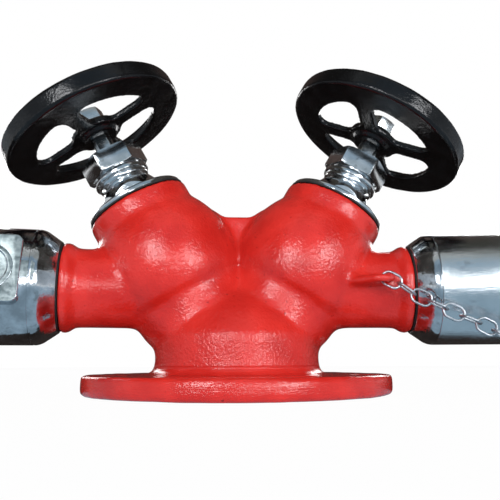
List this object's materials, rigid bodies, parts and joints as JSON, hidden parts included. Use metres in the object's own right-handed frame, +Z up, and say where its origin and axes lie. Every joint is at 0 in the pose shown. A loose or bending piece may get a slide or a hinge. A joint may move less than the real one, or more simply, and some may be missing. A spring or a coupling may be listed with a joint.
{
  "type": "double-headed hydrant valve",
  "caption": "Double-headed hydrant valve: flanged red casting with oblique screw-down valves, black handwheels, an instantaneous hose socket and an outlet under a chained blank cap.",
  "frame": {"origin": "centre of the inlet flange's underside", "axes": "+Z up along the inlet, +X towards the right outlet, -Y the side the outlets are swept to"},
  "size_m": [0.4073, 0.229, 0.2532],
  "materials": {
    "red_paint": "gloss over cast texture",
    "black_paint": "gloss over cast texture",
    "polished_gunmetal": "polished, plated",
    "plated_coupling": "turned and plated",
    "gunmetal": "machined",
    "plated_steel": "zinc plated",
    "spring_steel": "drawn wire",
    "zinc_wire": "bright zinc",
    "rubber": "moulded",
    "gasket": "flat sheet",
    "packing": "braided, graphited",
    "satin_cap": "spun, satin"
  },
  "bodies": {
    "valve": {"body_casting": "red_paint", "coupling": "plated_coupling", "coupling_seal": "rubber", "plunger_plugs": "plated_coupling", "outlet_nose": "plated_coupling", "cap_oring": "rubber", "cap_chain": "zinc_wire", "plunger_spring_front": "spring_steel", "plunger_spring_back": "spring_steel", "seat_ring_left": "gunmetal", "bonnet_left": "polished_gunmetal", "bonnet_gasket_left": "gasket", "gland_packing_left": "packing", "gland_follower_left": "gunmetal", "gland_nut_left": "polished_gunmetal", "joint_ring_left": "gasket", "seat_ring_right": "gunmetal", "bonnet_right": "polished_gunmetal", "bonnet_gasket_right": "gasket", "gland_packing_right": "packing", "gland_follower_right": "gunmetal", "gland_nut_right": "polished_gunmetal", "joint_ring_right": "gasket"},
    "disc_left": {"valve_disc_left": "gunmetal", "disc_retainer_left": "gunmetal", "disc_seal_left": "rubber", "seal_plate_left": "gunmetal", "seal_nut_left": "plated_steel"},
    "wheel_left": {"spindle_left": "plated_steel", "handwheel_left": "black_paint", "wheel_washer_left": "plated_steel", "wheel_nut_left": "plated_steel"},
    "disc_right": {"valve_disc_right": "gunmetal", "disc_retainer_right": "gunmetal", "disc_seal_right": "rubber", "seal_plate_right": "gunmetal", "seal_nut_right": "plated_steel"},
    "wheel_right": {"spindle_right": "plated_steel", "handwheel_right": "black_paint", "wheel_washer_right": "plated_steel", "wheel_nut_right": "plated_steel"},
    "plunger_front": {"plunger_front": "gunmetal"},
    "plunger_back": {"plunger_back": "gunmetal"},
    "cap": {"blank_cap": "satin_cap"}
  },
  "joints": [
    {"name": "valve_lift_left", "type": "slide", "parent": "valve", "child": "disc_left", "axis": [-0.5, 0, 0.866], "range_m": [0, 0.0201]},
    {"name": "wheel_turn_left", "type": "hinge", "parent": "disc_left", "child": "wheel_left", "pos_m": [-0.079, 0, 0.14433], "axis": [-0.5, 0, 0.866], "range_deg": [0, 1800]},
    {"name": "valve_lift_right", "type": "slide", "parent": "valve", "child": "disc_right", "axis": [0.5, 0, 0.866], "range_m": [0, 0.0201]},
    {"name": "wheel_turn_right", "type": "hinge", "parent": "disc_right", "child": "wheel_right", "pos_m": [0.079, 0, 0.14433], "axis": [0.5, 0, 0.866], "range_deg": [0, 1800]},
    {"name": "plunger_push_front", "type": "slide", "parent": "valve", "child": "plunger_front", "axis": [0.1371, -0.9752, 0.1736], "range_m": [0, 0.004], "stiffness_N_per_m": 1500, "springref_m": -0.004, "deforming": ["plunger_spring_front"]},
    {"name": "plunger_push_back", "type": "slide", "parent": "valve", "child": "plunger_back", "axis": [-0.1371, 0.9752, -0.1736], "range_m": [0, 0.004], "stiffness_N_per_m": 1500, "springref_m": -0.004, "deforming": ["plunger_spring_back"]},
    {"name": "cap_pull", "type": "slide", "parent": "valve", "child": "cap", "axis": [0.9903, -0.1392, 0], "range_m": [0, 0.014], "deforming": ["cap_chain"]}
  ],
  "couplings": [
    {"joint": "valve_lift_left", "follows": "wheel_turn_left", "m_per_rad": 0.00063662},
    {"joint": "valve_lift_right", "follows": "wheel_turn_right", "m_per_rad": 0.00063662}
  ]
}
